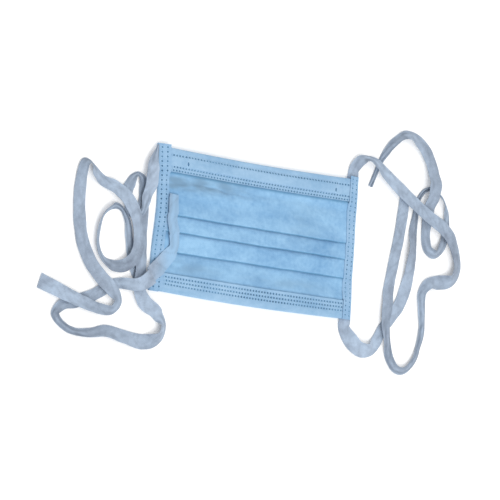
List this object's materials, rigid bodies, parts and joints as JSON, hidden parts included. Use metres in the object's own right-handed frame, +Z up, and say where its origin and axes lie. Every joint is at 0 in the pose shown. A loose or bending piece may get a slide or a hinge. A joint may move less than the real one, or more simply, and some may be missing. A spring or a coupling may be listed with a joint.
{
  "type": "surgical face mask",
  "caption": "Pleated tie-on surgical face mask of light blue non-woven cloth, lying flat with its outer face up and its loose ties spread at both sides",
  "frame": {"origin": "centre of the mask's rectangle, on the table that it lies on", "axes": "+X along the width towards the wearer's left, +Y towards the nose edge, +Z up out of the outer face"},
  "size_m": [0.3643, 0.1719, 0.0095],
  "materials": {
    "blue_cloth": "matt spun-bonded non-woven cloth, light blue, with a fine embossed grain",
    "hem_cloth": "folded non-woven cloth, paler blue, with rows of weld dots",
    "wire_plastic": "plain white plastic-coated strip",
    "binding_cloth": "folded non-woven tape over the blue cloth, with two columns of weld dots",
    "tie_tape": "soft folded non-woven tape, pale lavender grey"
  },
  "bodies": {
    "root": {"panel": "blue_cloth", "top_hem": "hem_cloth", "bottom_hem": "hem_cloth", "nose_wire": "wire_plastic", "left_binding": "binding_cloth", "right_binding": "binding_cloth", "tie_top_left": "tie_tape", "tie_bottom_left": "tie_tape", "tie_top_right": "tie_tape", "tie_bottom_right": "tie_tape"}
  },
  "joints": []
}
